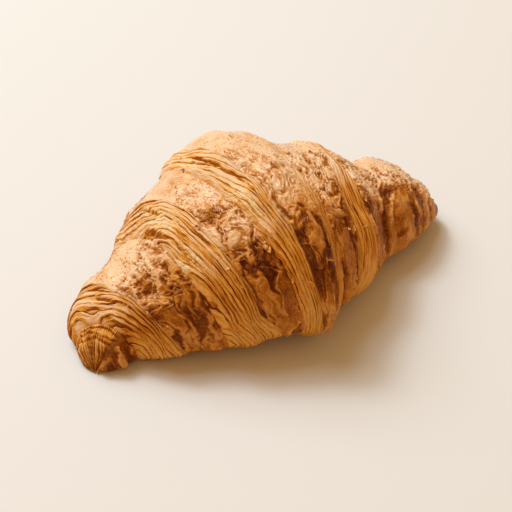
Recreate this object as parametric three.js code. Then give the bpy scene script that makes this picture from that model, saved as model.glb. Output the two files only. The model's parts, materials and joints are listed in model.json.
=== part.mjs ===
// A butter croissant as one closed solid, in millimetres.
// +X runs along the roll to its pointed end, +Z is up, and both ends bend towards -Y.
// The origin is the middle of the underside of the croissant's box.
import * as THREE from 'three';

// Section of the roll where its size is 1
const ROLL_WIDTH = 83.6;
const ROLL_HEIGHT = 56.2;
const WIDEST_AT = 0.42; // share of the height
const UPPER_EXPONENT = 2.08; // superellipse, above the widest place
const LOWER_EXPONENT = 2.5;
const HEIGHT_POWER = 0.93; // thin sections are a little tall for their width

// The flattened underside
const BASE_CUT = 1.6; // depth that the tray takes off the round underside
const BASE_GROOVE = 1.6; // height of the grooves between the turns
const BASE_GROOVE_HALF_WIDTH = 2.4;

// The edges of the turns wind along the roll, from the back over the top to the front
const WINDING = 26; // advance in one full turn
const WINDING_FROM = -40; // degrees, 0 is the back and 90 the top
const WINDING_TO = 220;
const WINDING_FADE = [48, 72]; // the ends of the roll have square edges

// Both ends bend to the front on an arc and lift a little
const BLUNT_END = { sign: -1, straight: 46, radius: 41.2, lift: 1.5 };
const POINTED_END = { sign: 1, straight: 46.7, radius: 108, lift: 4.4 };
const LIFT_FROM = 30; // the underside is flat up to here
const LIFT_REACH = 48; // and has its full lift this much further out

// Places along the roll where one turn ends and the next begins
const BLUNT_TIP = -68.3;
const TURN_A = -59.3;
const TURN_B = -33.8;
const TURN_C = -9.6;
const TURN_D = 20;
const TURN_E = 42.4;
const TIP_FOLD = 74.4;
const POINTED_TIP = 86.2;

// Size of the section at each place, and the curve from there to the next
const STATIONS = [
  { at: BLUNT_TIP, size: 0, curve: 'dome' },
  { at: TURN_A, size: 0.25, curve: 'bulge' },
  { at: between(TURN_A, TURN_B, 0.55), size: 0.51, curve: 'line' },
  { at: TURN_B, size: 0.645, curve: 'bulge' },
  { at: between(TURN_B, TURN_C, 0.5), size: 0.858, curve: 'line' },
  { at: TURN_C, size: 0.95, curve: 'bulge' },
  { at: between(TURN_C, TURN_D, 0.5), size: 1.105, curve: 'drop' },
  { at: TURN_D, size: 0.932, curve: 'line' },
  { at: between(TURN_D, TURN_E, 0.5), size: 0.83, curve: 'drop' },
  { at: TURN_E, size: 0.74, curve: 'line' },
  { at: between(TURN_E, TIP_FOLD, 0.4), size: 0.515, curve: 'drop' },
  { at: TIP_FOLD, size: 0.336, curve: 'nose' },
  { at: POINTED_TIP, size: 0, curve: 'line' },
];
const NOSE_POWER = 0.67;
const BULGE_ROUND = 0.55; // share of a quarter circle in a bulge, the rest is a sine

// Bands of open layers beside the turns. Facing -1 looks at the blunt end.
const BANDS = [
  { from: TURN_A, width: 9.6, facing: -1, ledges: 5 },
  { from: TURN_B, width: 9, facing: -1, ledges: 5 },
  { from: TURN_C, width: 8, facing: -1, ledges: 5 },
  { from: TURN_D - 3.2, width: 3.2, facing: 1, ledges: 2 },
  { from: TURN_E - 5.4, width: 5.4, facing: 1, ledges: 3 },
];
const RISER_SHARE = 0.32; // part of a ledge that is its steep face
const LEDGE_FOOT = -0.45; // groove at the foot of a ledge
const LEDGE_LIP = 0.4; // raised lip along its edge

// Relief of the baked crust, a smooth seeded noise. Creases are its folded parts.
const CRUST_SEED = 7;
const CRUST_BUMPS = [
  { cell: 15, height: 0.8, crease: false },
  { cell: 9, height: 0.8, crease: true },
  { cell: 6, height: 1.1, crease: false },
];
const CREASE_MEAN = 0.3;
const HASH_PRIMES = [374761393, 668265263, 1274126177];
const HASH_MIX = 1103515245;
const HASH_SHIFT = 15;
const CRUST_STRETCH = 0.6; // the crust is drawn out round the roll
const WANDER_CELL = 17;
const WANDER = 0.9; // how far the edges stray from their line
const WANDER_SHIFT = 300; // keeps the stray edges apart from the bumps
const RELIEF_FADE = [-0.75, -0.35]; // sine of the angle, from the flat underside up
const FULL_RELIEF_SIZE = 0.3; // smaller sections have less relief

// Grid of the solid
const ANGLES_OVER = 49;
const ANGLES_UNDER = 13;
const UNDER_FROM = 218; // degrees
const UNDER_TO = 322;
const DOME_ROWS = 6;
const NOSE_ROWS = 5;
const NOSE_ROW_POWER = 1.6; // the rows gather towards the tip
const CRUST_ROW = 2.7; // spacing of the rows on the crust

const CRUST_COLOUR = 0xb9713a;
const CRUST_ROUGHNESS = 0.6;

function between(a, b, share) {
  return a + (b - a) * share;
}

function smoothstep(low, high, x) {
  const t = THREE.MathUtils.clamp((x - low) / (high - low), 0, 1);
  return t * t * (3 - 2 * t);
}

// Steep at the start and flat at the end
function bulge(t) {
  return BULGE_ROUND * Math.sqrt(1 - (1 - t) ** 2) + (1 - BULGE_ROUND) * Math.sin(Math.PI / 2 * t);
}

const CURVES = {
  line: (t) => t,
  bulge,
  drop: (t) => 1 - bulge(1 - t),
  dome: (t) => Math.sqrt(1 - (1 - t) ** 2),
  nose: (t) => 1 - (1 - t) ** NOSE_POWER,
};

function sectionSize(u) {
  const next = STATIONS.findIndex((station) => u < station.at);
  if (next < 1) return 0;
  const a = STATIONS[next - 1];
  const b = STATIONS[next];
  return between(a.size, b.size, CURVES[a.curve]((u - a.at) / (b.at - a.at)));
}

// Advance of a turn's edge along the roll. It comes back under the roll, so that the edge closes.
function winding(degrees) {
  const over = (degrees - WINDING_FROM + 360) % 360 + WINDING_FROM;
  const reach = (WINDING_TO - 90) / 360 * WINDING;
  if (over <= WINDING_TO) return (over - 90) / 360 * WINDING;
  return reach * (1 - 2 * smoothstep(WINDING_TO, WINDING_FROM + 360, over));
}

// The left turns wind to +X and the right turns to -X, and turn C changes from one to the other
function windingShare(u) {
  const side = 1 - 2 * THREE.MathUtils.clamp((u - TURN_C) / (TURN_D - TURN_C), 0, 1);
  return side * (1 - smoothstep(WINDING_FADE[0], WINDING_FADE[1], Math.abs(u)));
}

// Hash of a lattice corner, from -1 to 1
function latticeValue(x, y, z) {
  let hash = CRUST_SEED;
  for (const [i, c] of [x, y, z].entries()) {
    hash = Math.imul(hash ^ Math.imul(c, HASH_PRIMES[i]), HASH_MIX);
    hash ^= hash >>> HASH_SHIFT;
  }
  return (hash >>> 0) / 2 ** 31 - 1;
}

// Smooth noise from -1 to 1 on a lattice with the given cell
function noise(point, cell) {
  const scaled = point.map((c) => c / cell);
  const corner = scaled.map(Math.floor);
  const t = scaled.map((c, i) => smoothstep(0, 1, c - corner[i]));
  let sum = 0;
  for (let k = 0; k < 8; k += 1) {
    const step = [k & 1, (k >> 1) & 1, k >> 2];
    const weight = step.reduce((w, s, i) => w * (s ? t[i] : 1 - t[i]), 1);
    sum += weight * latticeValue(...corner.map((c, i) => c + step[i]));
  }
  return sum;
}

// Bend an unbent point at axial place x and side place y into the crescent
function bend(x, y, z) {
  const end = x < 0 ? BLUNT_END : POINTED_END;
  const turn = Math.max(Math.abs(x) - end.straight, 0) / end.radius;
  const along = Math.min(Math.abs(x), end.straight) + (end.radius + y) * Math.sin(turn);
  const lift = end.lift * (Math.max(Math.abs(x) - LIFT_FROM, 0) / LIFT_REACH) ** 2;
  return [end.sign * along, (end.radius + y) * Math.cos(turn) - end.radius, z + lift];
}

// Height of the underside at u: it is flat, with a groove between the turns
function baseHeight(u) {
  const gaps = [TURN_A, TURN_B, TURN_C, TURN_D, TURN_E, TIP_FOLD];
  const near = Math.min(...gaps.map((gap) => Math.abs(u - gap)));
  return BASE_GROOVE * (1 - smoothstep(0, BASE_GROOVE_HALF_WIDTH, near));
}

// Relief of the crust at an unbent place, as a distance outwards
function crustRelief(x, y, z) {
  const place = [x, y * CRUST_STRETCH, z * CRUST_STRETCH];
  let sum = 0;
  for (const bump of CRUST_BUMPS) {
    const value = noise(place, bump.cell);
    sum += bump.height * (bump.crease ? Math.abs(value) - CREASE_MEAN : value);
  }
  return sum;
}

// Point of the surface at place u along the roll and at an angle round it.
// row.size is the section's size there and row.offset an extra distance outwards.
function surfacePoint(row, degrees) {
  const angle = THREE.MathUtils.degToRad(degrees);
  const c = Math.cos(angle);
  const s = Math.sin(angle);
  const exponent = s > 0 ? UPPER_EXPONENT : LOWER_EXPONENT;
  const reach = (Math.abs(c) ** exponent + Math.abs(s) ** exponent) ** (-1 / exponent);
  const height = ROLL_HEIGHT * row.size ** HEIGHT_POWER;
  const middle = WIDEST_AT * height;
  const across = ROLL_WIDTH / 2 * row.size * reach * c;
  const up = middle + (s > 0 ? height - middle : middle) * reach * s;
  const x = row.u + windingShare(row.u) * winding(degrees);
  const fade = smoothstep(RELIEF_FADE[0], RELIEF_FADE[1], s) * Math.min(1, row.size / FULL_RELIEF_SIZE);
  const out = fade * (row.offset + crustRelief(x, across, up));
  const stray = fade * WANDER * noise([x, across, up + WANDER_SHIFT], WANDER_CELL);
  const flat = Math.max(up + out * s - BASE_CUT, baseHeight(row.u));
  return bend(x + stray, across + out * c, flat);
}

// Rows of a band of layers: each ledge has a row at its foot and one at its lip
function bandRows(band) {
  const rows = [];
  const ledge = band.width / band.ledges;
  for (let k = 0; k < band.ledges; k += 1) {
    const foot = k * ledge;
    const lip = foot + RISER_SHARE * ledge;
    const top = foot + ledge;
    for (const [place, level, offset] of [[foot, foot, LEDGE_FOOT], [lip, top, LEDGE_LIP]]) {
      const at = (d) => (band.facing < 0 ? band.from + d : band.from + band.width - d);
      rows.push({ u: at(place), size: sectionSize(at(level)), offset });
    }
  }
  return band.facing < 0 ? rows : rows.reverse();
}

// Evenly spaced rows from one place up to, but not at, another
function plainRows(from, to, count, ease = (t) => t) {
  const rows = [];
  for (let k = 0; k < count; k += 1) {
    const u = between(from, to, ease((k + 0.5) / count));
    rows.push({ u, size: sectionSize(u), offset: 0 });
  }
  return rows;
}

function allRows() {
  const rows = plainRows(BLUNT_TIP, TURN_A, DOME_ROWS, (t) => 1 - Math.cos(Math.PI / 2 * t));
  let done = TURN_A;
  for (const band of [...BANDS, { from: TIP_FOLD }]) {
    const gap = band.from - done;
    rows.push(...plainRows(done, band.from, Math.round(gap / CRUST_ROW)));
    if (!band.width) break;
    rows.push(...bandRows(band));
    done = band.from + band.width;
  }
  rows.push(...plainRows(TIP_FOLD, POINTED_TIP, NOSE_ROWS, (t) => 1 - (1 - t) ** NOSE_ROW_POWER));
  return rows;
}

function allAngles() {
  const over = UNDER_FROM - (UNDER_TO - 360);
  const under = UNDER_TO - UNDER_FROM;
  const angles = [];
  for (let k = 0; k < ANGLES_OVER; k += 1) angles.push(UNDER_TO - 360 + over * k / ANGLES_OVER);
  for (let k = 0; k < ANGLES_UNDER; k += 1) angles.push(UNDER_FROM + under * k / ANGLES_UNDER);
  return angles;
}

// Closed mesh: a grid of rows and angles with a fan to a point at each end
function croissantGeometry() {
  const rows = allRows();
  const angles = allAngles();
  const points = rows.flatMap((row) => angles.map((degrees) => surfacePoint(row, degrees)));
  const ring = (r, k) => r * angles.length + (k % angles.length);
  const index = [];
  for (let r = 0; r + 1 < rows.length; r += 1) {
    for (let k = 0; k < angles.length; k += 1) {
      index.push(ring(r, k), ring(r + 1, k + 1), ring(r + 1, k));
      index.push(ring(r, k), ring(r, k + 1), ring(r + 1, k + 1));
    }
  }
  for (const last of [0, rows.length - 1]) {
    const loop = angles.map((_, k) => points[ring(last, k)]);
    const mean = [0, 1, 2].map((i) => loop.reduce((sum, p) => sum + p[i], 0) / loop.length);
    const tip = points.push(mean) - 1;
    for (let k = 0; k < angles.length; k += 1) {
      const edge = [ring(last, k), ring(last, k + 1)];
      index.push(tip, ...(last ? edge : edge.reverse()));
    }
  }
  const geometry = new THREE.BufferGeometry();
  geometry.setAttribute('position', new THREE.Float32BufferAttribute(points.flat(), 3));
  geometry.setIndex(index);
  return geometry;
}

const geometry = croissantGeometry();
geometry.computeBoundingBox();
const middle = geometry.boundingBox.getCenter(new THREE.Vector3());
geometry.translate(-middle.x, -middle.y, -geometry.boundingBox.min.z);
geometry.computeVertexNormals();

const crust = new THREE.MeshStandardMaterial({
  color: CRUST_COLOUR,
  roughness: CRUST_ROUGHNESS,
  metalness: 0,
});
const croissant = new THREE.Mesh(geometry, crust);
croissant.name = 'croissant';

const group = new THREE.Group();
group.add(croissant);

export default group;
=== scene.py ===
"""A butter croissant: its turns as closed pieces of crust, loose flakes, a pale floor, soft light."""

import json
import math

import bpy
import numpy as np
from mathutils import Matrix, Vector

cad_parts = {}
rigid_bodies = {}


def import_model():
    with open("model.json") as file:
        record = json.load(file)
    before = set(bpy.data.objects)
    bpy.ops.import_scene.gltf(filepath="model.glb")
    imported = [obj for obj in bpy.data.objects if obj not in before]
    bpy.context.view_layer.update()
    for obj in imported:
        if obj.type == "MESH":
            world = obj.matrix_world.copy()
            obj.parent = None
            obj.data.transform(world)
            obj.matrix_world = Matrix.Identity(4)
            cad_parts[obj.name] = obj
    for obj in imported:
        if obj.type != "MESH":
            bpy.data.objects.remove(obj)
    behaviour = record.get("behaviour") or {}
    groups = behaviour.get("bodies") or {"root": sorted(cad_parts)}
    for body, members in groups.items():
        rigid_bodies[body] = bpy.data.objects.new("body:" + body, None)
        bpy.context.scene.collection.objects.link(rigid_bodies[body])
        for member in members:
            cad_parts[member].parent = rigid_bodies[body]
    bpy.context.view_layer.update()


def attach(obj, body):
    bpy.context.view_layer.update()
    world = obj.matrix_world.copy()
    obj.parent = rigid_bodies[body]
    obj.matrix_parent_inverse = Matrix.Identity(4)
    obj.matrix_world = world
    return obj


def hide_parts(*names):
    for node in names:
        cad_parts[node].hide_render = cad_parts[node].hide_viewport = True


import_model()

bl_info = {
    "name": "Butter croissant",
    "version": (1, 0, 0),
    "blender": (4, 5, 0),
    "location": "3D View > Sidebar > Croissant",
    "description": "Builds the crust, open layers and flakes of a croissant, and a small stage for it",
    "category": "Add Mesh",
}

MM = 0.001  # the form below is in millimetres, and meshes are in metres
BODY = "root"
NODE = "croissant"

# Form of the roll, as in the solid: the section where its size is 1
ROLL_WIDTH = 83.6
ROLL_HEIGHT = 56.2
WIDEST_AT = 0.42
UPPER_EXPONENT = 2.08
LOWER_EXPONENT = 2.5
HEIGHT_POWER = 0.93

# The flattened underside
BASE_CUT = 1.6
BASE_GROOVE = 1.6
BASE_GROOVE_HALF_WIDTH = 2.4

# The edges of the turns wind along the roll
WINDING = 26.0
WINDING_FROM = -40.0
WINDING_TO = 220.0
WINDING_FADE = (48.0, 72.0)

# Both ends bend to the front: straight length, radius and lift
BLUNT_BEND = (46.0, 41.2, 1.5)
POINTED_BEND = (46.7, 108.0, 4.4)
LIFT_FROM = 30.0
LIFT_REACH = 48.0

# Places along the roll where one turn ends and the next begins
BLUNT_TIP = -68.3
TURN_A = -59.3
TURN_B = -33.8
TURN_C = -9.6
TURN_D = 20.0
TURN_E = 42.4
TIP_FOLD = 74.4
POINTED_TIP = 86.2
GAPS = (TURN_A, TURN_B, TURN_C, TURN_D, TURN_E, TIP_FOLD)


def between(a, b, share):
    """Value at a share of the way from a to b."""
    return a + (b - a) * share


# Size of the section at each place, and the curve from there to the next
STATIONS = (
    (BLUNT_TIP, 0.0, "dome"),
    (TURN_A, 0.25, "bulge"),
    (between(TURN_A, TURN_B, 0.55), 0.51, "line"),
    (TURN_B, 0.645, "bulge"),
    (between(TURN_B, TURN_C, 0.5), 0.858, "line"),
    (TURN_C, 0.95, "bulge"),
    (between(TURN_C, TURN_D, 0.5), 1.105, "drop"),
    (TURN_D, 0.932, "line"),
    (between(TURN_D, TURN_E, 0.5), 0.83, "drop"),
    (TURN_E, 0.74, "line"),
    (between(TURN_E, TIP_FOLD, 0.4), 0.515, "drop"),
    (TIP_FOLD, 0.336, "nose"),
    (POINTED_TIP, 0.0, "line"),
)
NOSE_POWER = 0.67
BULGE_ROUND = 0.55

# Broad relief of the crust, the same as the solid's: cell, height, crease
CRUST_SEED = 7
CRUST_BUMPS = ((15.0, 0.8, False), (9.0, 0.8, True), (6.0, 1.1, False))
CREASE_MEAN = 0.3
CRUST_STRETCH = 0.6
HASH_PRIMES = (374761393, 668265263, 1274126177)
HASH_MIX = 1103515245
HASH_SHIFT = 15
LANE_STEP = 5.37  # from one noise that runs round the roll to the next
WANDER_CELL = 17.0
WANDER = 0.9
WANDER_SHIFT = 300.0
RELIEF_FADE = (-0.75, -0.35)
FULL_RELIEF_SIZE = 0.3

# Bands of open layers: where a turn starts or ends, the side it faces, colour, relief, how much
# of the band's widening and of the drift below the layers follow, and the angle from which it is
# painted paler, as painted light where it faces down
BANDS = {
    "a": dict(edge=TURN_A, facing=-1, brown=0.70, relief=1.2, follow=0.8, drift=0.45, foot=132),
    "b": dict(edge=TURN_B, facing=-1, brown=0.47, relief=1.0, follow=0.75, drift=1.0, foot=150),
    "c": dict(edge=TURN_C, facing=-1, brown=0.40, relief=0.75, follow=0.6, drift=0.8, foot=152),
    "c_right": dict(edge=TURN_D, facing=1, brown=0.42, relief=0.6, follow=0.5, drift=0.4, foot=152),
    "d": dict(edge=TURN_E, facing=1, brown=0.42, relief=0.75, follow=0.6, drift=0.4, foot=152),
}
LAYER_WIDTH = 1.4  # usual distance between two lips
# Unevenness of the layers: strength in layers, span in mm across and along them, and its lane
LAYER_STRAY = ((1.0, 5.0, 34.0, 0), (0.3, 2.0, 22.0, 1), (0.13, 0.9, 2.6, 7))
DEEP_GROOVE = 0.7  # a groove this deep, in mm, is painted fully dark as shade
SHARP_EDGE = (0.5, 0.4)  # how far a band drops where it meets its crust and the next turn, in mm
BAKED_SIDE = (0.35, 120, 42)  # extra browning towards the front: strength, angle and half angle
FOOT_PAINTED_LIGHT = (0.75, 38)  # painted light: how much a band is painted paler near its foot, where it faces down, and over what angle
LAYER_STEP = 0.18  # distance between rows in a band
LAYER_DRIFT = ((-60, -2.4), (45, -2.2), (60, -1.6), (75, -0.6), (90, 0.6), (105, 1.5), (125, 2.2),
               (160, 2.7), (220, 3.2))
# Width of each band in mm at angles round the roll: 0 is the back, 90 the top and 180 the front
BAND_WIDTHS = {
    "a": ((-60, 10.5), (30, 8.8), (80, 7.6), (110, 8.2), (130, 8.9), (150, 10.4), (175, 11.6),
          (205, 12.6)),
    "b": ((-60, 10.5), (30, 7.0), (52, 8.4), (68, 11.2), (85, 12.2), (100, 11.2), (150, 11.4),
          (168, 12.6), (180, 15.6), (200, 18.0), (225, 17.5)),
    "c": ((-60, 8.0), (35, 5.6), (60, 7.6), (80, 8.4), (110, 8.8), (160, 8.8), (200, 9.4)),
    "c_right": ((-60, 4.0), (60, 3.2), (90, 3.6), (110, 5.5), (130, 7.0), (160, 6.4), (200, 6.0)),
    "d": ((-60, 5.5), (50, 4.4), (85, 5.2), (105, 8.8), (150, 10.6), (200, 10.6)),
}
EDGE_RAGGED = 0.8  # how far the edge of the crust strays along a band
EDGE_SOFT = 2.2  # distance over which the crust thins out to open layers
# Places where a layer has opened: distance from the band's edge, angle, half angle, distance
# gained per degree, width, depth in mm and paleness
OPENINGS = {
    "a": ((2.2, 62, 26, 0.01, 0.7, 0.8, 0.3), (4.6, 72, 24, 0.01, 0.7, 0.9, 0.4),
          (0.9, 100, 30, 0.01, 0.8, 0.5, 0.6), (6.8, 60, 20, 0.0, 0.6, 0.7, 0.2)),
    "b": ((1.3, 76, 18, 0.06, 1.0, 2.2, 0.7), (2.1, 109, 20, 0.03, 2.0, 0.25, 1.0),
          (5.0, 76, 22, 0.06, 1.9, 0.2, 0.9), (5.4, 62, 18, 0.04, 0.7, 0.9, 0.6),
          (9.0, 104, 24, 0.03, 0.7, 0.7, 0.4)),
    "c": ((1.7, 104, 23, 0.02, 2.2, 0.25, 1.0), (4.6, 72, 20, 0.06, 0.8, 1.3, 0.6),
          (2.2, 62, 20, 0.04, 1.1, 0.4, 0.9), (6.0, 96, 20, 0.04, 0.6, 0.6, 0.3)),
    "c_right": ((2.0, 118, 30, 0.0, 1.0, 0.2, 0.5),),
    "d": ((2.2, 82, 24, 0.02, 0.8, 0.5, 0.6), (6.2, 128, 26, 0.0, 0.7, 0.5, 0.2)),
}

# Angles between which each turn's crust has specks, crags and film plates, and where it browns
CRUST_ZONES = {
    "blunt": ((0, 0), (0, 0), (118, 205), (92, 132)),
    "a": ((52, 84), (74, 134), (130, 205), (86, 124)),
    "b": ((58, 98), (88, 144), (138, 205), (106, 146)),
    "c": ((60, 100), (87, 152), (128, 205), (102, 140)),
    "d": ((60, 90), (82, 142), (114, 205), (92, 132)),
    "e": ((56, 78), (72, 130), (118, 195), (110, 166)),
}
BACK_MIRROR = 108.0  # the unseen back has the same zones, mirrored about half this angle

# The fan of ridges on the rolled end
FAN_SPACING = 15.0
FAN_TWIST = 22.0
FAN_HEIGHT = 0.9
FAN_RADIUS = 10.0  # of the noise that makes it uneven, in mm
FAN_LENGTH = 8.0  # from the tip to the first layer, in the same noise
FAN_SIDES = ((-60, -30), (134, 112))  # angles over which it fades
FAN_BROWN = 0.22
FAN_RIM = 0.62  # where the ridges end, as a share of the way from the tip to the first layer
FAN_LIPS = ((0.66, 0.6), (0.77, 0.55), (0.89, 0.5))  # ragged lips outside them, with heights in mm

# Swells and dents of the crust: place, angle, their half spans and height
SWELLS = (
    (13.5, 62.0, 8.0, 26.0, 2.0),
    (62.0, 62.0, 12.0, 34.0, 1.2),
    (-46.0, 50.0, 9.0, 30.0, 1.1),
    (16.0, 198.0, 9.0, 26.0, -2.6),
    (33.0, 196.0, 9.0, 24.0, -1.4),
    (-14.0, 192.0, 8.0, 18.0, 1.0),
)

# Torn film raised in lumps, and hollows beside them: place, angle, half spans and strength
LUMPS = (
    (-46.0, 88.0, 2.6, 4.5, 0.8), (-38.5, 84.0, 2.4, 4.5, 0.7), (-44.0, 99.0, 2.4, 4.5, 0.7),
    (-49.0, 94.0, 1.8, 5.0, 0.7), (-37.5, 112.0, 2.4, 4.5, 0.7), (-47.0, 123.0, 1.8, 5.0, 0.7),
    (-43.0, 125.0, 1.5, 8.0, 0.7), (-14.0, 106.0, 3.8, 6.0, 1.0), (-17.0, 118.0, 2.6, 8.0, 1.1),
    (-12.5, 113.0, 3.0, 5.5, 1.0), (-19.5, 150.0, 3.0, 16.0, 0.5), (-17.0, 175.0, 4.5, 4.5, 0.6),
    (5.0, 112.0, 5.5, 7.0, 1.1), (8.5, 103.0, 4.8, 4.5, 0.9), (11.5, 119.0, 4.0, 6.0, 0.9),
    (6.0, 138.0, 3.6, 8.5, 1.0), (3.5, 175.0, 4.2, 6.0, 0.8), (25.5, 119.0, 3.6, 3.0, 0.9),
    (24.0, 127.0, 4.6, 2.4, 0.9), (33.0, 124.0, 2.6, 4.0, 0.7), (23.5, 106.0, 2.6, 5.0, 0.7),
    (24.0, 150.0, 2.6, 12.0, 0.5), (25.5, 180.0, 3.0, 12.0, 0.7), (52.0, 100.0, 5.0, 4.0, 0.5),
    (62.5, 136.0, 2.6, 14.0, 0.55), (57.0, 152.0, 1.2, 26.0, 0.6), (27.5, 160.0, 1.8, 10.0, 0.5),
)
HOLLOWS = (
    (-49.0, 137.0, 2.0, 9.0, 0.8), (-45.5, 108.0, 1.8, 5.0, 0.6), (-41.0, 117.0, 1.6, 7.0, 0.6),
    (-19.0, 101.0, 4.2, 9.0, 0.55), (-12.5, 134.0, 3.6, 8.0, 0.6), (-20.5, 174.0, 1.8, 3.2, 1.0),
    (2.2, 134.0, 2.4, 4.0, 1.0), (10.5, 141.0, 1.8, 5.0, 0.8), (4.5, 156.0, 5.0, 11.0, 0.8),
    (1.2, 127.0, 1.6, 3.0, 0.7), (28.5, 138.0, 2.2, 12.0, 0.8), (31.5, 113.0, 3.0, 4.0, 0.6),
    (50.0, 143.0, 5.5, 14.0, 0.4), (31.0, 158.0, 2.6, 11.0, 0.6), (60.5, 116.0, 2.6, 4.0, 0.6),
    (61.5, 164.0, 2.0, 5.0, 0.8),
)

# How the crust's fine patterns are drawn out along the turns, and their heights in metres
PLATE_STRETCH = (1.0, 0.18, 0.18)
WRINKLE_STRETCH = (1.0, 0.5, 0.5)
LUMP_STRETCH = (1.0, 0.36, 0.36)
STRANDS_IN_LAYER = 4.2
STRAND_ALONG = 0.12  # strands along 1 mm of a turn, so that they are drawn out
WARP = 0.006
SPECK_SPACING = 0.95  # in mm
WARP_SCALE = 170.0  # these scales are in patterns on a metre
BEAD_SCALE = 700.0
PIT_SCALE = 1500.0
GRAIN_SCALE = 800.0
CRUMB_SCALE = 560.0
TEAR_SCALE = 900.0
BEAD_HEIGHT = 0.00035
PIT_DEPTH = 0.00008
CRUMB_HEIGHT = 0.0016

# Loose flakes: length, width and thickness as shares of the length, curl, tilt and ragged edge
FLAKE_SHAPE = (1.0, 0.55, 0.08)
FLAKE_CURL = 0.7
FLAKE_TILT = 0.4
FLAKE_TEAR = 0.0012
FLAKE_SIZES = ((0.4, 0.4, 0.8), (1.5, 1.2, 1.3))
FLAKE_TONES = (0.25, 0.8)
FLAKES_ON_BANDS = 0.25  # share of the flakes that the crags have
FLAKE_SEED = 5

# Finishes: speck size and mottle size in metres and stretch round the roll, then roughness
CRUST_GRAIN = (0.0006, 0.0042, 0.6)
LAYER_GRAIN = (0.0005, 0.0040, 0.15)
FLAKE_GRAIN = (0.0005, 0.003, 1.0)
CRUST_ROUGHNESS = (0.34, 0.55)
LAYER_ROUGHNESS = 0.65
CRUST_FINISH = {"Coat Roughness": 0.14, "Specular IOR Level": 0.09, "Specular Tint": (1.0, 0.82, 0.6, 1.0)}
CRUST_BUMP = {"Strength": 0.8, "Distance": 0.00038}
FLAKE_FINISH = {"Roughness": 0.5, "Specular IOR Level": 0.25}
FLOOR_FINISH = {"Roughness": 0.7, "Specular IOR Level": 0.2}

# Each piece: angles in a ring, distance between the rows of its crust, browning, how much paler
# its crust is near the front foot, and the size of its crags
TURNS = {
    "blunt": dict(ring=640, crags=1.0, seed=0.1),
    "a": dict(ring=560, step=0.36, brown=0.34, paler=-0.05, crags=0.85, seed=0.2),
    "b": dict(ring=550, step=0.32, brown=0.54, paler=0.3, crags=1.05, seed=0.3),
    "c": dict(ring=520, step=0.27, brown=0.34, paler=0.3, crags=1.2, seed=0.4),
    "d": dict(ring=560, step=0.27, brown=0.34, paler=0.15, crags=0.82, seed=0.5),
    "e": dict(ring=560, step=0.34, brown=0.26, paler=0.3, crags=0.8, seed=0.7),
}
FRONT_FOOT = (148, 185)  # angles over which the crust pales
BLUNT_ROWS = 76
TIP_ROWS = 40
TIP_POWER = 1.6  # crowds the rows at the very tip
TIP_BROWN = 1.1
# Stretches of a ring with their share of its angles
RING_DETAIL = ((-40.0, 50.0, 0.62), (50.0, 205.0, 1.0), (205.0, 320.0, 0.3))
CAP_ROWS = 5  # rings that close a piece inside the roll
TUCK = 1.6  # how far a turn runs in under its neighbour
TUCK_ROWS = 3
TUCK_SHADE = dict(tone=0.0, band=1.0, brown=0.8)  # rows that another turn covers, painted darkest as the shade in the crease between turns

# Camera, fitted to the outline and to the turns' edges
VIEW_AZIMUTH = 32.69
VIEW_ELEVATION = 41.78
VIEW_DISTANCE = 450.0
VIEW_HEIGHT = 26.4
FOCAL_PIXELS = 1237.0
IMAGE_PIXELS = 512.0
AXIS_PIXEL = (246.0, 237.65)
SENSOR_MM = 36.0

# Stage, in metres
FLOOR_HALF = 2.0
KEY_DISTANCE = 1.8
KEY_SIZE = 1.55
GLINT_SIZE = 0.45
KEY_TARGET = (0, 0, 0.02)
KEY_COLOUR = (0.86, 0.95, 1.0)
ROOM_COLOUR = (1.0, 0.60, 0.25, 1.0)


# Form of the roll

def smoothstep(low, high, x):
    """0 below low and 1 above high, smooth between. Falls where low is above high."""
    t = np.clip((x - low) / (high - low), 0, 1)
    return t * t * (3 - 2 * t)


def bulge(t):
    t = np.clip(t, 0, 1)
    return BULGE_ROUND * np.sqrt(1 - (1 - t) ** 2) + (1 - BULGE_ROUND) * np.sin(np.pi / 2 * t)


CURVES = {
    "line": lambda t: t,
    "bulge": bulge,
    "drop": lambda t: 1 - bulge(1 - t),
    "dome": lambda t: np.sqrt(1 - (1 - t) ** 2),
    "nose": lambda t: 1 - (1 - t) ** NOSE_POWER,
}


def section_size(u):
    """Size of the section at each place u along the roll."""
    u = np.asarray(u, float)
    size = np.zeros_like(u)
    for (start, low, curve), (end, high, _) in zip(STATIONS, STATIONS[1:]):
        here = (u >= start) & (u <= end)
        size[here] = between(low, high, CURVES[curve]((u[here] - start) / (end - start)))
    return size


def winding(degrees):
    """Advance of a turn's edge along the roll at each angle round it."""
    over = np.mod(degrees - WINDING_FROM, 360) + WINDING_FROM
    reach = (WINDING_TO - 90) / 360 * WINDING
    back = reach * (1 - 2 * smoothstep(WINDING_TO, WINDING_FROM + 360, over))
    return np.where(over <= WINDING_TO, (over - 90) / 360 * WINDING, back)


def winding_share(u):
    """Slant of the turns: forwards before the middle, backwards after it, none at the ends."""
    side = 1 - 2 * np.clip((u - TURN_C) / (TURN_D - TURN_C), 0, 1)
    return side * (1 - smoothstep(*WINDING_FADE, np.abs(u)))


def lattice_value(corner):
    """Hash of lattice corners, from -1 to 1."""
    value = np.full(corner.shape[:-1], CRUST_SEED, np.uint32)
    for i, prime in enumerate(HASH_PRIMES):
        value = (value ^ (corner[..., i].astype(np.uint32) * np.uint32(prime))) * np.uint32(HASH_MIX)
        value ^= value >> np.uint32(HASH_SHIFT)
    return value / 2.0**31 - 1


def noise(point, cell):
    """Smooth noise from -1 to 1 on a lattice with the given cell."""
    scaled = point / cell
    corner = np.floor(scaled)
    t = smoothstep(0, 1, scaled - corner)
    corner = corner.astype(np.int64)
    total = np.zeros(point.shape[:-1])
    for k in range(8):
        step = np.array([k & 1, (k >> 1) & 1, k >> 2])
        weight = np.prod(np.where(step, t, 1 - t), axis=-1)
        total += weight * lattice_value(corner + step)
    return total


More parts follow.
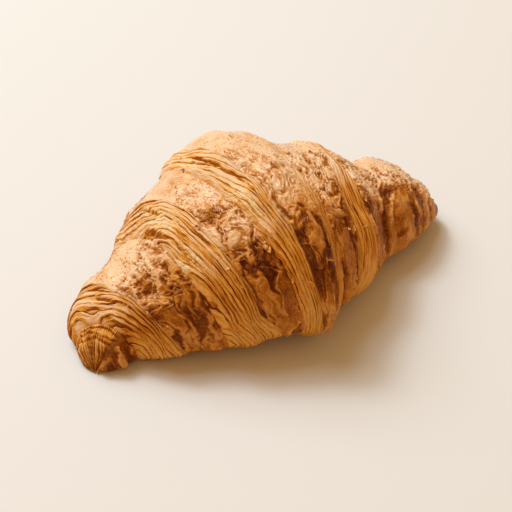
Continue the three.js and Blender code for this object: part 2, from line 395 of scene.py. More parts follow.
def bend(x, y, z):
    """Bends an unbent point into the crescent."""
    straight, radius, lift = (
        np.where(x < 0, a, b) for a, b in zip(BLUNT_BEND, POINTED_BEND)
    )
    turn = np.maximum(np.abs(x) - straight, 0) / radius
    along = np.minimum(np.abs(x), straight) + (radius + y) * np.sin(turn)
    raised = lift * (np.maximum(np.abs(x) - LIFT_FROM, 0) / LIFT_REACH) ** 2
    side = (radius + y) * np.cos(turn) - radius
    return np.stack([np.where(x < 0, -along, along), side, z + raised], -1)


def base_height(u):
    """Height of the underside, which rises in the grooves between the turns."""
    near = np.min([np.abs(u - gap) for gap in GAPS], axis=0)
    return BASE_GROOVE * (1 - smoothstep(0, BASE_GROOVE_HALF_WIDTH, near))


def crust_relief(place):
    """Broad bumps of the crust."""
    stretched = place * np.array([1, CRUST_STRETCH, CRUST_STRETCH])
    total = 0
    for cell, height, crease in CRUST_BUMPS:
        value = noise(stretched, cell)
        total = total + height * (np.abs(value) - CREASE_MEAN if crease else value)
    return total


def swell(u, degrees):
    """Height of the swells and dents at a place on the crust."""
    total = 0
    for at, angle, half_along, half_round, height in SWELLS:
        along = smoothstep(1, 0, np.abs(u - at) / half_along)
        total = total + height * along * bump(degrees, angle, half_round)
    return total


def bump(degrees, at, half):
    """1 at an angle, falling to 0 at half an angle away on each side."""
    away = np.abs(np.mod(degrees - at + 180, 360) - 180)
    return smoothstep(half, 0, away)


def surface(u, degrees, size, out, shift=0.0):
    """Places on the crust and, for patterns, the same places on the unbent, unwound roll."""
    angle = np.radians(degrees)
    c, s = np.cos(angle), np.sin(angle)
    exponent = np.where(s > 0, UPPER_EXPONENT, LOWER_EXPONENT)
    reach = (np.abs(c) ** exponent + np.abs(s) ** exponent) ** (-1 / exponent)
    height = ROLL_HEIGHT * size**HEIGHT_POWER
    middle = WIDEST_AT * height
    across = ROLL_WIDTH / 2 * size * reach * c
    up = middle + np.where(s > 0, height - middle, middle) * reach * s
    x = u + winding_share(u) * winding(degrees)
    fade = smoothstep(*RELIEF_FADE, s) * np.minimum(1, size / FULL_RELIEF_SIZE)
    place = np.stack([x, across, up], -1)
    out = fade * (out + crust_relief(place)) + swell(u, degrees)
    stray = fade * WANDER * noise(place + np.array([0, 0, WANDER_SHIFT]), WANDER_CELL)
    flat = np.maximum(up + out * s - BASE_CUT, base_height(u))
    points = bend(x + stray + fade * shift, across + out * c, flat)
    return points, np.stack([u + stray, across, up], -1)


def form_centre():
    """Middle of the plain form's box, which the solid's origin stands on."""
    u, degrees = np.meshgrid(np.linspace(BLUNT_TIP, POINTED_TIP, 310), np.arange(0, 360, 3.0))
    points, _ = surface(u, degrees, section_size(u), 0.0)
    low, high = points.reshape(-1, 3).min(0), points.reshape(-1, 3).max(0)
    return np.array([(low[0] + high[0]) / 2, (low[1] + high[1]) / 2, 0.0])


CENTRE = form_centre()


def ring_angles(count):
    """Angles round the roll, finest over the top and the front."""
    edges = [RING_DETAIL[0][0]] + [end for _, end, _ in RING_DETAIL]
    totals = np.cumsum([0.0] + [(end - start) * share for start, end, share in RING_DETAIL])
    return np.interp(np.arange(count) / count * totals[-1], totals, edges)


def ring_noise(degrees, radius, cell, lane):
    """Noise that runs round the roll, a different one for each lane."""
    angle = np.radians(degrees)
    lanes = np.full_like(angle, lane * LANE_STEP)
    place = np.stack([np.cos(angle) * radius / cell, np.sin(angle) * radius / cell, lanes], -1)
    return noise(place, 1.0)


# Rows of the open layers and of the crust

class Rows:
    """Rows of a piece from its first ring to its last. Each holds one value for each angle."""

    NAMES = ("u", "size", "out", "shift", "tone", "band", "pale", "brown", "layer")

    def __init__(self, degrees):
        self.degrees = degrees
        self.values = {name: [] for name in self.NAMES}

    def add(self, u, **given):
        u = np.broadcast_to(np.asarray(u, float), self.degrees.shape)
        row = dict(size=section_size(u), tone=1.0, brown=0.5, layer=u / LAYER_WIDTH)
        row = {**dict.fromkeys(self.NAMES, 0.0), "u": u, **row, **given}
        for name in self.NAMES:
            self.values[name].append(np.broadcast_to(row[name], self.degrees.shape))

    def grids(self):
        return {name: np.array(rows) for name, rows in self.values.items()}


def plain_width(key, degrees):
    """Width of a band at each angle, before its edge is made ragged."""
    angles, widths = zip(*BAND_WIDTHS[key])
    return np.interp(degrees, angles, widths, period=360)


def band_width(key, degrees):
    """Width of a band at each angle, up to the ragged edge of the crust."""
    return plain_width(key, degrees) + EDGE_RAGGED * ring_noise(
        degrees, 30.0, 7.0, 90 + list(BANDS).index(key))


def band_end(key, degrees):
    """Place along the roll where a band meets its turn's crust."""
    band = BANDS[key]
    return band["edge"] - band["facing"] * band_width(key, degrees)


def layer_noise(away, degrees, radius, across, along, lane):
    """Noise over a band, from its distance from the edge and the angle."""
    angle = np.radians(degrees)
    side = away / across + lane * LANE_STEP
    round_it = [np.cos(angle) * radius / along, np.sin(angle) * radius / along]
    return noise(np.stack(np.broadcast_arrays(side, *round_it), -1), 1.0)


def band_openings(key, away, degrees):
    """Depth and paleness of the opened places of a band, and how far they spread its layers."""
    depth, pale, spread = (np.zeros_like(away) for _ in range(3))
    for start, at, half, drift, width, gap, paleness in OPENINGS[key]:
        centre = start + drift * (degrees - at)
        here = bump(degrees, at, half)
        across = (away - centre) / width
        depth = np.maximum(depth, gap * here * smoothstep(1.0, 0.25, np.abs(across)))
        pale = np.maximum(pale, paleness * here * smoothstep(1.5, 0.8, np.abs(across)))
        spread = spread + here * width * (0.7 - 0.5 * paleness) * np.tanh(across)
    return depth, pale, spread


def layer_places(key, away, degrees, radius, lane, spread):
    """Number of layers from the band's edge to each place, with the share of the one it is in."""
    band = BANDS[key]
    angles, drifts = zip(*LAYER_DRIFT)
    drift = np.interp(degrees, angles, drifts, period=360)
    drift = band["drift"] * drift + band["follow"] * plain_width(key, degrees)
    phase = (away - drift - spread) / LAYER_WIDTH
    for strength, across, along, shift in LAYER_STRAY:
        phase = phase + strength * layer_noise(away, degrees, radius, across, along, lane + shift)
    return phase


def band_browning(band, degrees):
    """Browning of a band: more towards the front, and much less near its foot, as painted light where it
    faces down.
    """
    # Painted light: less browning towards the foot, where the band faces down and gets little lamp light
    painted_lift, over = FOOT_PAINTED_LIGHT
    brown = -painted_lift * smoothstep(band["foot"], band["foot"] + over, degrees)
    return brown + BAKED_SIDE[0] * bump(degrees, *BAKED_SIDE[1:])


def add_band(rows, key, sizes):
    """Adds the rows of a band of open layers, each with a groove at its foot and a curled lip."""
    band = BANDS[key]
    lane = 40 * (1 + list(BANDS).index(key))
    reach = band_width(key, rows.degrees)
    count = round(reach.max() / LAYER_STEP)
    degrees = np.broadcast_to(rows.degrees, (count, len(rows.degrees)))
    away = np.arange(count)[:, None] / count * reach
    radius = ROLL_WIDTH / 2 * section_size([band["edge"] - band["facing"] * 5])[0]
    depth, pale, spread = band_openings(key, away, degrees)
    phase = layer_places(key, away, degrees, radius, lane, spread)
    layer, foot, t = np.floor(phase), np.round(phase), phase - np.floor(phase)

    def vary(which, along, shift):
        return layer_noise(which, degrees, radius, 1.0, along, lane + shift)

    curl = 0.6 + 0.9 * vary(layer * 3.3, 13.0, 2)
    gape = smoothstep(0.0, 0.6, vary(foot * 3.3, 15.0, 3))
    soft = 1 - 0.75 * pale
    lip = sizes.lip_height / MM * band["relief"] * np.maximum(curl, 0.12) * soft
    groove = (sizes.groove_depth + sizes.gap_depth * gape) / MM * band["relief"] * soft
    in_groove = smoothstep(0.13, 0.02, t) + smoothstep(0.93, 1.0, t)
    on_lip = smoothstep(0.0, 0.16, t) * (1 - smoothstep(0.16, 1.0, t))
    edge = smoothstep(0.0, 0.06, t) * smoothstep(0.34, 0.16, t)
    overhang = smoothstep(0.0, 0.12, t) * smoothstep(0.4, 0.16, t)
    out = lip * on_lip - groove * in_groove - depth
    at_crust, at_edge = SHARP_EDGE
    out = out - at_crust * smoothstep(0.5, 0.0, reach - away) - at_edge * smoothstep(0.6, 0.0, away)
    firm = smoothstep(-0.6, 0.4, vary(foot * 5.1, 16.0, 5))
    baked = smoothstep(-0.5, 0.5, vary(layer * 7.7, 11.0, 6))
    # Painted shade: grooves and opened gaps darken with their depth, and firm grooves a little more
    dark = np.clip((0.55 * firm * in_groove + groove * in_groove + depth) / DEEP_GROOVE, 0, 1)
    tone = (0.86 - (0.26 + 0.38 * baked) * edge * soft) * (1 - 0.9 * dark)
    brown = band["brown"] + 0.5 * vary(layer * 2.3, 18.0, 4) + band_browning(band, degrees)
    shift = band["facing"] * overhang * np.clip(curl, 0, 1) * sizes.lip_overhang / MM * soft

    u = band["edge"] - band["facing"] * away
    order = range(count) if band["facing"] < 0 else range(count - 1, -1, -1)
    for k in order:
        rows.add(u[k], out=out[k], shift=shift[k], tone=tone[k], band=1.0, pale=pale[k], brown=brown[k],
                 layer=phase[k])


def add_skin(rows, key, start, end):
    """Adds the rows of a stretch of egg-washed crust, paler near its front foot."""
    turn = TURNS[key]
    count = max(4, round(np.max(np.abs(end - start)) / turn["step"]))
    lower = turn["paler"] * smoothstep(*FRONT_FOOT, rows.degrees)
    for k in range(count + 1):
        rows.add(between(start, end, k / count), brown=turn["brown"] - lower)


def add_tuck(rows, start):
    """Adds rows that run in under the next turn, painted dark as the shade in the crease."""
    for k in range(1, TUCK_ROWS + 1):
        share = k / TUCK_ROWS
        size = section_size(start) * (1 - 0.06 * share)
        rows.add(start + TUCK * share, size=size, out=-1.6 * share, **TUCK_SHADE)


def add_lead(rows, start):
    """Adds rows that come out from under the turn before, painted dark as the shade in the crease."""
    for k in range(TUCK_ROWS, 0, -1):
        size = section_size(start) * (1 - 0.02 * k)
        rows.add(start - TUCK * k / TUCK_ROWS, size=size, out=-0.5 * k, **TUCK_SHADE)


def add_cap(points, rolls, first):
    """Rings that close a piece on the inside, from its last row to its middle."""
    ring, roll = (points[0], rolls[0]) if first else (points[-1], rolls[-1])
    middle, inner = ring.mean(0), roll.mean(0)
    shares = np.linspace(0, 1, CAP_ROWS + 2)[1:-1, None, None]
    new_points = between(ring[None], middle, shares)
    new_rolls = between(roll[None], inner, shares)
    if first:
        return np.concatenate([new_points[::-1], points]), np.concatenate([new_rolls[::-1], rolls])
    return np.concatenate([points, new_points]), np.concatenate([rolls, new_rolls])


# Where the crust has its patterns

def zone(turned, span, soft):
    """1 between two angles, softened by so many degrees at both ends."""
    low, high = span
    if low == high:
        return np.zeros_like(turned)
    return smoothstep(low - soft, low + soft, turned) * smoothstep(high + soft, high - soft, turned)


def placed(features, u, angle, ragged):
    """Strength of the placed lumps or hollows at each place of a turn, with ragged edges."""
    field = np.zeros_like(u)
    for at, middle, half_along, half_round, strength in features:
        away = np.hypot((u - at) / half_along, (angle - middle) / half_round) + ragged
        dome = 0.6 * smoothstep(1.12, 0.86, away) + 0.4 * smoothstep(1.0, 0.2, away)
        field = np.maximum(field, strength * dome)
    return field


def crust_masks(grids, degrees, zones):
    """How strongly each place of the crust has specks, crags and film plates."""
    u = grids["u"]
    angle = np.broadcast_to(np.mod(degrees - WINDING_FROM, 360) + WINDING_FROM, u.shape)
    place = np.stack([u, 28 * np.cos(np.radians(angle)), 28 * np.sin(np.radians(angle))], -1)
    turned = angle + 13 * noise(place, 12.0) + 8 * noise(place + 50, 5.0)
    mirrored = BACK_MIRROR - turned
    masks = {}
    for name, span, soft in zip(("speck", "crag", "plate"), zones, (9.0, 7.0, 9.0)):
        masks[name] = np.maximum(zone(turned, span, soft), 0.8 * zone(mirrored, span, soft))
    masks["crag"] = masks["crag"] * smoothstep(POINTED_TIP - 2, POINTED_TIP - 6, u)
    under = smoothstep(*RELIEF_FADE, np.sin(np.radians(angle)))
    ragged = 0.35 * noise(place, 2.2) + 0.35 * noise(place + 90, 4.5)
    masks["lump"] = placed(LUMPS, u, angle, 1.4 * ragged)
    masks["hollow"] = placed(HOLLOWS, u, angle, 1.6 * ragged) * (1 - masks["lump"])
    masks["front"] = np.maximum(smoothstep(*zones[3], turned), smoothstep(*zones[3], mirrored))
    masks["skin"] = (1 - grids["band"]) * under
    masks["under"] = 1 - under
    return masks


def edge_fade(grids, places):
    """0 on open layers and rising to 1 on the crust beside them, unevenly."""
    band = grids["band"]
    steps = np.linalg.norm(np.diff(places, axis=0, prepend=places[:1]), axis=-1)
    fade = 1 - band
    for rows in (range(1, len(band)), range(len(band) - 2, -1, -1)):
        for k in rows:
            before = k - 1 if rows.step > 0 else k + 1
            gap = steps[max(k, before)]
            fade[k] = np.minimum(fade[k], fade[before] + gap / EDGE_SOFT)
    return fade


# Meshes

def grid_mesh(name, points, rolls, layers):
    """Closed mesh of a grid of rings, with a fan to a point at each end."""
    rows, ring = points.shape[:2]
    poles = np.stack([points[0].mean(0), points[-1].mean(0)])
    places = (np.concatenate([points.reshape(-1, 3), poles]) - CENTRE) * MM
    index = np.arange(rows * ring).reshape(rows, ring)
    nxt = np.roll(index, -1, axis=1)
    quads = np.stack([index[:-1], nxt[:-1], nxt[1:], index[1:]], -1).reshape(-1, 4)
    low = np.stack([np.full(ring, rows * ring), nxt[0], index[0]], -1)
    high = np.stack([np.full(ring, rows * ring + 1), index[-1], nxt[-1]], -1)
    mesh = bpy.data.meshes.new(name)
    mesh.from_pydata(places.tolist(), [], quads.tolist() + low.tolist() + high.tolist())
    uv = grid_uv(rows, ring).astype(np.float32)
    mesh.uv_layers.new(name="OFBake").data.foreach_set("uv", uv.ravel())
    rolled = np.concatenate([rolls.reshape(-1, 3), rolls[0].mean(0)[None], rolls[-1].mean(0)[None]])
    roll = mesh.attributes.new("roll", "FLOAT_VECTOR", "POINT")
    roll.data.foreach_set("vector", rolled.astype(np.float32).ravel())
    for key, grid in layers.items():
        values = np.concatenate([grid.ravel(), [grid[0].mean(), grid[-1].mean()]])
        mesh.attributes.new(key, "FLOAT", "POINT").data.foreach_set("value", values.astype(np.float32))
    mesh.validate()
    return mesh


def grid_uv(rows, ring):
    """Flat map of the same grid, for each corner of its quads and of the fans at its ends."""
    across = np.linspace(0, 1, ring + 1)
    along = np.linspace(0.01, 0.99, rows)
    u0 = np.broadcast_to(across[:-1], (rows - 1, ring))
    u1 = np.broadcast_to(across[1:], (rows - 1, ring))
    v0, v1 = (np.broadcast_to(v[:, None], (rows - 1, ring)) for v in (along[:-1], along[1:]))
    quad_uv = np.stack([u0, v0, u1, v0, u1, v1, u0, v1], -1).reshape(-1, 2)
    mid = (across[:-1] + across[1:]) / 2
    zero, one = np.zeros(ring), np.ones(ring)
    low_uv = np.stack([mid, zero, across[1:], zero + along[0], across[:-1], zero + along[0]], -1)
    high_uv = np.stack([mid, one, across[:-1], zero + along[-1], across[1:], zero + along[-1]], -1)
    return np.concatenate([quad_uv, low_uv.reshape(-1, 2), high_uv.reshape(-1, 2)])


def build_turn(name, rows, zones, cap_first=True, cap_last=True, shape=None):
    """Mesh object of a turn from its rows."""
    grids = rows.grids()
    degrees = np.broadcast_to(rows.degrees, grids["u"].shape)
    if shape:
        shape(grids, degrees)
    points, rolls = surface(grids["u"], degrees, grids["size"], grids["out"], grids["shift"])
    masks = crust_masks(grids, rows.degrees, CRUST_ZONES[zones])
    fade = edge_fade(grids, points)
    masks["skin"] = masks["skin"] * fade
    patchy = 0.1 + 0.6 * noise(rolls * np.array([1.0, 0.3, 0.3]), 1.8)
    grids["band"] = np.maximum(grids["band"], smoothstep(0.3, -0.1, fade - patchy))
    layers = {key: grids[key] for key in ("tone", "band", "pale", "brown", "layer")}
    layers.update(masks)
    for wanted, first in ((cap_first, True), (cap_last, False)):
        if wanted:
            points, rolls = add_cap(points, rolls, first)
            pad = ((CAP_ROWS, 0), (0, 0)) if first else ((0, CAP_ROWS), (0, 0))
            layers = {key: np.pad(grid, pad, mode="edge") for key, grid in layers.items()}
    mesh = grid_mesh(name, points, rolls, layers)
    piece = bpy.data.objects.new(name, mesh)
    bpy.context.scene.collection.objects.link(piece)
    mesh.shade_smooth()
    return piece


# Node trees

class NodeTree:
    """Short way to add and join the nodes of a tree."""

    def __init__(self, tree):
        self.tree = tree

    def add(self, kind, *inputs, out=0, **settings):
        """Adds a node. inputs are values or sockets in order, None to leave one alone."""
        node = self.tree.nodes.new(kind)
        named = settings.pop("named", {})
        for key, value in settings.items():
            setattr(node, key, value)
        live = [socket for socket in node.inputs if socket.enabled]
        pairs = list(zip(live, inputs)) + [(node.inputs[key], value) for key, value in named.items()]
        for socket, value in pairs:
            if value is None:
                continue
            if isinstance(value, bpy.types.NodeSocket):
                self.tree.links.new(value, socket)
            else:
                socket.default_value = value
        outputs = [socket for socket in node.outputs if socket.enabled]
        return node.outputs[out] if isinstance(out, str) else outputs[out]

    def math(self, operation, *inputs):
        return self.add("ShaderNodeMath", *inputs, operation=operation)

    def times(self, first, second):
        return self.math("MULTIPLY", first, second)

    def over(self, first, second):
        return self.math("DIVIDE", first, second)

    def plus(self, first, second):
        return self.math("ADD", first, second)

    def minus(self, first, second):
        return self.math("SUBTRACT", first, second)

    def larger(self, first, second):
        return self.math("MAXIMUM", first, second)

    def times_plus(self, value, factor, added):
        return self.math("MULTIPLY_ADD", value, factor, added)

    def around(self, value, middle, factor):
        """How far a value is above or below its middle, times a factor."""
        return self.times(self.minus(value, middle), factor)

    def vector(self, operation, *inputs):
        return self.add("ShaderNodeVectorMath", *inputs, operation=operation)

    def span(self, value, low, high, to_low=0.0, to_high=1.0):
        """Smooth change of a value from one span to another."""
        return self.add("ShaderNodeMapRange", value, low, high, to_low, to_high,
                        interpolation_type="SMOOTHSTEP")

    def mix(self, share, first, second):
        return self.add("ShaderNodeMix", data_type="FLOAT", out=0,
                        named={0: share, 2: first, 3: second})

    def blend(self, share, first, second, how="MIX"):
        """Mix of two colours."""
        node = self.tree.nodes.new("ShaderNodeMix")
        node.data_type = "RGBA"
        node.blend_type = how
        for index, value in ((0, share), (6, first), (7, second)):
            if isinstance(value, bpy.types.NodeSocket):
                self.tree.links.new(value, node.inputs[index])
            else:
                node.inputs[index].default_value = value
        return node.outputs[2]


RELIEF_INPUTS = (
    ("Crag Size", "crag_size"),
    ("Crag Height", "crag_height"),
    ("Plate Size", "plate_size"),
    ("Plate Height", "plate_height"),
    ("Grain Height", "grain_height"),
    ("Strand Height", "strand_height"),
)


def read_attribute(nodes, name, kind="FLOAT"):
    return nodes.add("GeometryNodeInputNamedAttribute", name, data_type=kind)


def read_attributes(nodes, names):
    return [read_attribute(nodes, name) for name in names.split()]


def store_attribute(nodes, geometry, name, value):
    """Keeps a value on the points of a geometry."""
    return nodes.add("GeometryNodeStoreNamedAttribute", geometry, None, name, value,
                     data_type="FLOAT", domain="POINT")


def scaled(nodes, vector, factor):
    return nodes.add("ShaderNodeVectorMath", vector, operation="SCALE", named={"Scale": factor})


def noise_value(nodes, vector, scale, detail=2.0, roughness=0.5, distortion=0.0):
    return nodes.add("ShaderNodeTexNoise", out="Fac", named={
        "Vector": vector, "Scale": scale, "Detail": detail, "Roughness": roughness,
        "Distortion": distortion})


def tree_inputs(tree, distances, others):
    """Gives a geometry tree its geometry, its named sizes and other inputs, and its output."""
    given = [("Geometry", "Geometry")] + [(label, "Float") for label in distances]
    for label, kind in given + list(others) + [("Material", "Material")]:
        socket = tree.interface.new_socket(label, in_out="INPUT", socket_type="NodeSocket" + kind)
        if label in distances:
            socket.subtype = "DISTANCE"
    tree.interface.new_socket("Geometry", in_out="OUTPUT", socket_type="NodeSocketGeometry")
    return tree.nodes.new("NodeGroupInput").outputs


def along_layers(nodes, layer, roll):
    """Place for a pattern of fine strands that run along the layers."""
    parts = nodes.tree.nodes.new("ShaderNodeSeparateXYZ")
    nodes.tree.links.new(roll, parts.inputs[0])
    along = [nodes.times(parts.outputs[k], STRAND_ALONG) for k in (1, 2)]
    return nodes.add("ShaderNodeCombineXYZ", nodes.times(layer, STRANDS_IN_LAYER), *along)


def film_plates(nodes, place, size, low, high):
    """Flat patches of film, 0 beside them and 1 on them, and a thin line along their edges."""
    drawn = nodes.vector("MULTIPLY", place, PLATE_STRETCH)
    patches = noise_value(nodes, drawn, nodes.over(1.0, size), 3.5, 0.55, 0.5)
    edge = nodes.math("ABSOLUTE", nodes.minus(patches, (low + high) / 2))
    return nodes.span(patches, low, high), nodes.span(edge, high - low, 0.0)


def wrinkles(nodes, place, size, width, offset):
    """Rounded ridges that wander and branch: 0 in the valleys and 1 along their tops."""
    drawn = nodes.vector("MULTIPLY", nodes.vector("ADD", place, (offset, 0.0, 0.0)), WRINKLE_STRETCH)
    value = noise_value(nodes, drawn, nodes.over(1.0, size), 1.6, 0.5, 0.9)
    away = nodes.math("ABSOLUTE", nodes.minus(value, 0.5))
    return nodes.span(away, width, 0.0)


def blobs(nodes, place, size):
    """Rounded lumps drawn out round the roll: 0 between them and 1 on top."""
    drawn = nodes.vector("MULTIPLY", place, LUMP_STRETCH)
    value = noise_value(nodes, drawn, nodes.over(1.0, size), 2.4, 0.55, 0.7)
    return nodes.span(value, 0.45, 0.60)


def fine_patterns(nodes, given):
    """The patterns that the relief is made of, drawn on the unbent roll."""
    roll = read_attribute(nodes, "roll", "FLOAT_VECTOR")
    seed = nodes.add("ShaderNodeCombineXYZ", given["Seed"], 0.0, 0.0)
    place = nodes.vector("ADD", scaled(nodes, roll, MM), seed)
    warp = nodes.add("ShaderNodeTexNoise", out="Color",
                     named={"Vector": place, "Scale": WARP_SCALE, "Detail": 2.0})
    shift = scaled(nodes, nodes.vector("SUBTRACT", warp, (0.5, 0.5, 0.5)), WARP)
    warped = nodes.vector("ADD", place, shift)
    broad = blobs(nodes, warped, nodes.times(given["Crag Size"], 0.62))
    narrow = wrinkles(nodes, warped, nodes.times(given["Crag Size"], 0.8), 0.11, 0.3)
    plates, edges = film_plates(nodes, warped, given["Plate Size"], 0.47, 0.54)
    cells = nodes.add("ShaderNodeTexVoronoi", feature="SMOOTH_F1", out="Distance", named={
        "Vector": warped, "Scale": BEAD_SCALE, "Smoothness": 0.3})
    strands = along_layers(nodes, read_attribute(nodes, "layer"), roll)
    return {
        "worms": nodes.larger(nodes.times(broad, 0.85), nodes.times(narrow, 0.75)),
        "plates": plates,
        "edges": edges,
        "beads": nodes.span(cells, 0.62, 0.1),
        "pits": nodes.span(noise_value(nodes, place, PIT_SCALE, 2.0, 0.6), 0.40, 0.56),
        "grain": nodes.minus(noise_value(nodes, warped, GRAIN_SCALE, 3.0, 0.6), 0.5),
        "strands": nodes.minus(noise_value(nodes, strands, 1.0, 2.0, 0.6), 0.5),
        "crumbs": nodes.minus(noise_value(nodes, warped, CRUMB_SCALE, 3.0, 0.65), 0.5),
    }


def relief_marks(nodes, found):
    """How much of each pattern a place has, for its relief and for its material."""
    crag, plate, speck, lump, hollow = read_attributes(nodes, "crag plate speck lump hollow")
    bead_share = nodes.larger(nodes.times(crag, 0.7), hollow)
    bead_share = nodes.larger(bead_share, nodes.times(speck, 0.4))
    rim_share = nodes.larger(plate, nodes.times(crag, 0.2))
    return {
        "worm": nodes.times(found["worms"], nodes.larger(crag, lump)),
        "sheet": nodes.times(found["plates"], plate),
        "rim": nodes.times(found["edges"], rim_share),
        "crumb": found["crumbs"],
        "bead": nodes.times(found["beads"], bead_share),
        "pit": nodes.times(found["pits"], speck),
    }


def relief_height(nodes, given, found, marks):
    """How far the surface is raised at each place."""
    skin, band, pale, lump, hollow = read_attributes(nodes, "skin band pale lump hollow")
    rough_lump = nodes.times(lump, nodes.times_plus(found["worms"], 0.65, 0.45))
    crags = nodes.larger(nodes.times(marks["worm"], 0.9), rough_lump)
    rise = nodes.times(nodes.minus(crags, hollow), given["Crag Height"])
    sheet = nodes.times(nodes.times_plus(marks["rim"], 0.4, marks["sheet"]), given["Plate Height"])
    beads = nodes.times(marks["bead"], BEAD_HEIGHT)
    pits = nodes.times(marks["pit"], PIT_DEPTH)
    total = nodes.plus(nodes.plus(rise, sheet), nodes.plus(beads, pits))
    crust = nodes.times(nodes.plus(total, nodes.times(found["grain"], given["Grain Height"])), skin)
    threads = nodes.times(found["strands"], given["Strand Height"])
    crumbs = nodes.times(nodes.times(found["crumbs"], pale), CRUMB_HEIGHT)
    return nodes.plus(crust, nodes.times(nodes.plus(threads, crumbs), band))


def relief_tree():
    """Geometry nodes that raise wrinkles, torn film and grain on the crust and strands on the layers."""
    tree = bpy.data.node_groups.new("Crust relief", "GeometryNodeTree")
    given = tree_inputs(tree, [label for label, _ in RELIEF_INPUTS], [("Seed", "Float")])
    nodes = NodeTree(tree)
    found = fine_patterns(nodes, given)
    marks = relief_marks(nodes, found)
    height = relief_height(nodes, given, found, marks)
    geometry = given["Geometry"]
    for name, value in marks.items():
        geometry = store_attribute(nodes, geometry, name, value)
    normal = tree.nodes.new("GeometryNodeInputNormal").outputs[0]
    moved = nodes.add("GeometryNodeSetPosition", geometry, None, None, scaled(nodes, normal, height))
    real = nodes.add("GeometryNodeRealizeInstances", moved)
    done = nodes.add("GeometryNodeSetMaterial", real, None, given["Material"])
    tree.links.new(done, tree.nodes.new("NodeGroupOutput").inputs[0])
    return tree


def apply_tree(piece, tree, values):
    """Runs a geometry tree on a piece and keeps its result as a plain mesh."""
    modifier = piece.modifiers.new(tree.name, "NODES")
    modifier.node_group = tree
    for item in tree.interface.items_tree:
        if item.in_out == "INPUT" and item.name in values:
            modifier[item.identifier] = values[item.name]
    graph = bpy.context.evaluated_depsgraph_get()
    graph.update()
    mesh = bpy.data.meshes.new_from_object(piece.evaluated_get(graph), depsgraph=graph)
    piece.modifiers.remove(modifier)
    old = piece.data
    piece.data = mesh
    bpy.data.meshes.remove(old)
    mesh.name = piece.name
    return piece


def get_tree(name, make):
    """A node tree by its name, made the first time."""
    return bpy.data.node_groups.get(name) or make()


def ride_on_root(piece):
    """Tells the frame that a piece dresses the solid."""
    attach(piece, BODY)
    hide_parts(NODE)


# Materials

def colour(name):
    """A colour from the settings, opaque."""
    return tuple(getattr(bpy.context.scene.croissant_colours, name)) + (1.0,)


def grain_group():
    """Shader group: fine mottling of baked dough as a value from 0 to 1 and a bump height."""
    group = bpy.data.node_groups.get("Baked grain")
    if group:
        return group
    group = bpy.data.node_groups.new("Baked grain", "ShaderNodeTree")
    for label, default in (("Speck Size", 0.0006), ("Mottle Size", 0.004), ("Stretch", 1.0)):
        socket = group.interface.new_socket(label, in_out="INPUT", socket_type="NodeSocketFloat")
        socket.default_value = default
    for label in ("Speck", "Mottle", "Height"):
        group.interface.new_socket(label, in_out="OUTPUT", socket_type="NodeSocketFloat")
    given = group.nodes.new("NodeGroupInput").outputs
    nodes = NodeTree(group)
    thin = nodes.add("ShaderNodeCombineXYZ", 1.0, given["Stretch"], given["Stretch"])
    place = nodes.vector("MULTIPLY", scaled(nodes, roll_place(nodes), MM), thin)
    per_speck, per_mottle = (nodes.over(1.0, given[key]) for key in ("Speck Size", "Mottle Size"))
    cells = nodes.add("ShaderNodeTexVoronoi", out="Distance", named={"Vector": place, "Scale": per_speck})
    fine = noise_value(nodes, place, per_speck, 3.0, 0.6)
    domes = nodes.times(nodes.span(cells, 0.7, 0.1), 0.4)
    out = group.nodes.new("NodeGroupOutput").inputs
    group.links.new(nodes.span(cells, 0.62, 0.2), out["Speck"])
    group.links.new(noise_value(nodes, place, per_mottle, 5.0, 0.62), out["Mottle"])
    group.links.new(nodes.times_plus(fine, 0.6, domes), out["Height"])
    return group


def use_grain(nodes, grain):
    """Places the grain group with its three sizes."""
    node = nodes.tree.nodes.new("ShaderNodeGroup")
    node.node_tree = grain_group()
    for label, value in zip(("Speck Size", "Mottle Size", "Stretch"), grain):
        node.inputs[label].default_value = value
    return node.outputs


def new_material(name, finish):
    """A material with constant values on its shader, and the nodes to add to it."""
    material = bpy.data.materials.new(name)
    material.use_nodes = True
    shader = material.node_tree.nodes["Principled BSDF"]
    for label, value in finish.items():
        shader.inputs[label].default_value = value
    return material, NodeTree(material.node_tree), shader


def ramp(nodes, value, **stops):
    """Colour ramp with the place of each named colour."""
    node = nodes.tree.nodes.new("ShaderNodeValToRGB")
    elements = node.color_ramp.elements
    while len(elements) < len(stops):
        elements.new(0.5)
    for element, (name, place) in zip(elements, stops.items()):
        element.position = place
        element.color = colour(name)
    nodes.tree.links.new(value, node.inputs[0])
    return node.outputs[0]


def attribute(nodes, name):
    return nodes.add("ShaderNodeAttribute", attribute_name=name, out="Fac")


def attributes(nodes, names):
    return [attribute(nodes, name) for name in names.split()]


def roll_place(nodes):
    """Place on the unbent roll in millimetres, which the fine patterns follow."""
    return nodes.add("ShaderNodeAttribute", attribute_name="roll", out="Vector")


def dark_specks(nodes):
    """Small dark dots, strewn unevenly: 1 in a dot and 0 between them."""
    cells = nodes.add("ShaderNodeTexVoronoi", named={
        "Vector": roll_place(nodes), "Scale": 1 / SPECK_SPACING}).node.outputs
    dots = nodes.span(cells["Distance"], 0.36, 0.18)
    kept = nodes.span(cells["Color"], 0.35, 0.5)
    return nodes.times(dots, kept)


